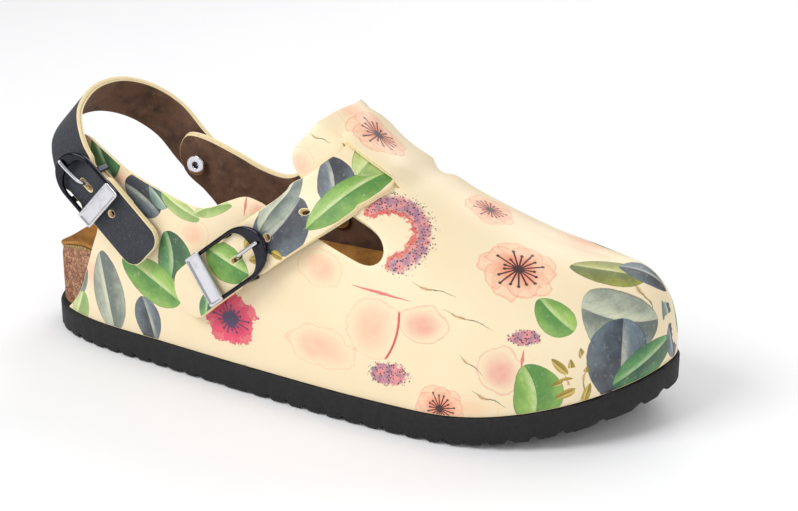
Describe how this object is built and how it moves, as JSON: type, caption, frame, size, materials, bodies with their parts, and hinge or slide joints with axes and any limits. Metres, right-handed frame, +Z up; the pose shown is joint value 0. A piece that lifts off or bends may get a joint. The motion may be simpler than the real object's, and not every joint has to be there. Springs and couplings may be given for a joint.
{
  "type": "closed-toe clog",
  "caption": "Closed-toe slip-on clog with a leather upper, a cork footbed, a buckled instep strap under a leather bridge, and a buckled heel strap that swings.",
  "frame": {"origin": "on the ground, at the middle of the sole's length, on the sole's long axis", "axes": "+X towards the toe, +Y towards the inner (big-toe) side of the right foot, +Z up"},
  "size_m": [0.263, 0.0949, 0.1077],
  "materials": {
    "sole_foam": "fine-celled matt foam rubber, lightly pitted",
    "jute": "coarse open plain weave",
    "cork": "pressed cork granules, sealed",
    "liner_suede": "short-napped tan suede",
    "printed_leather": "satin cream leather with a watercolour flower and leaf print, cream cut edges",
    "brown_suede": "brushed brown suede",
    "black_leather": "pebble-grained charcoal leather, cream cut edges",
    "dark_nickel": "polished dark nickel",
    "nickel": "polished nickel"
  },
  "bodies": {
    "clog": {"outsole": "sole_foam", "lower_jute": "jute", "cork_core": "cork", "upper_jute": "jute", "footbed_liner": "liner_suede", "upper_shell": "printed_leather", "upper_lining": "brown_suede", "instep_strap": "printed_leather", "instep_strap_backing": "brown_suede", "instep_strap_rivets": "nickel", "instep_strap_rivet_caps": "nickel", "instep_buckle_loop": "printed_leather", "instep_buckle_rivet": "nickel", "instep_buckle_rivet_cap": "nickel", "heel_pivot_rivet": "nickel", "heel_pivot_rivet_cap": "nickel", "heel_buckle_rivet": "nickel", "heel_buckle_rivet_cap": "nickel"},
    "heel_strap": {"heel_strap": "black_leather", "heel_strap_backing": "brown_suede", "heel_buckle_loop": "black_leather"},
    "heel_buckle": {"heel_buckle_frame": "dark_nickel", "heel_buckle_plate": "nickel"},
    "heel_prong": {"heel_buckle_prong": "nickel"},
    "instep_buckle": {"instep_buckle_frame": "dark_nickel", "instep_buckle_plate": "nickel"},
    "instep_prong": {"instep_buckle_prong": "nickel"}
  },
  "joints": [
    {"name": "heel_strap_swing", "type": "hinge", "parent": "clog", "child": "heel_strap", "pos_m": [-0.082, 0, 0.0635], "axis": [0, 1, 0], "range_deg": [-58, 88]},
    {"name": "heel_buckle_tilt", "type": "hinge", "parent": "heel_strap", "child": "heel_buckle", "pos_m": [-0.09114, -0.03385, 0.07203], "axis": [-0.682, 0, -0.7314], "range_deg": [-2, 2]},
    {"name": "heel_prong_lift", "type": "hinge", "parent": "heel_buckle", "child": "heel_prong", "pos_m": [-0.09114, -0.03385, 0.07203], "axis": [0.682, 0, 0.7314], "range_deg": [0, 30]},
    {"name": "instep_buckle_tilt", "type": "hinge", "parent": "clog", "child": "instep_buckle", "pos_m": [-0.02019, -0.03971, 0.05492], "axis": [-0.6194, 0.1594, 0.7687], "range_deg": [-2, 2]},
    {"name": "instep_prong_lift", "type": "hinge", "parent": "instep_buckle", "child": "instep_prong", "pos_m": [-0.02019, -0.03971, 0.05492], "axis": [0.6194, -0.1594, -0.7687], "range_deg": [0, 30]}
  ]
}
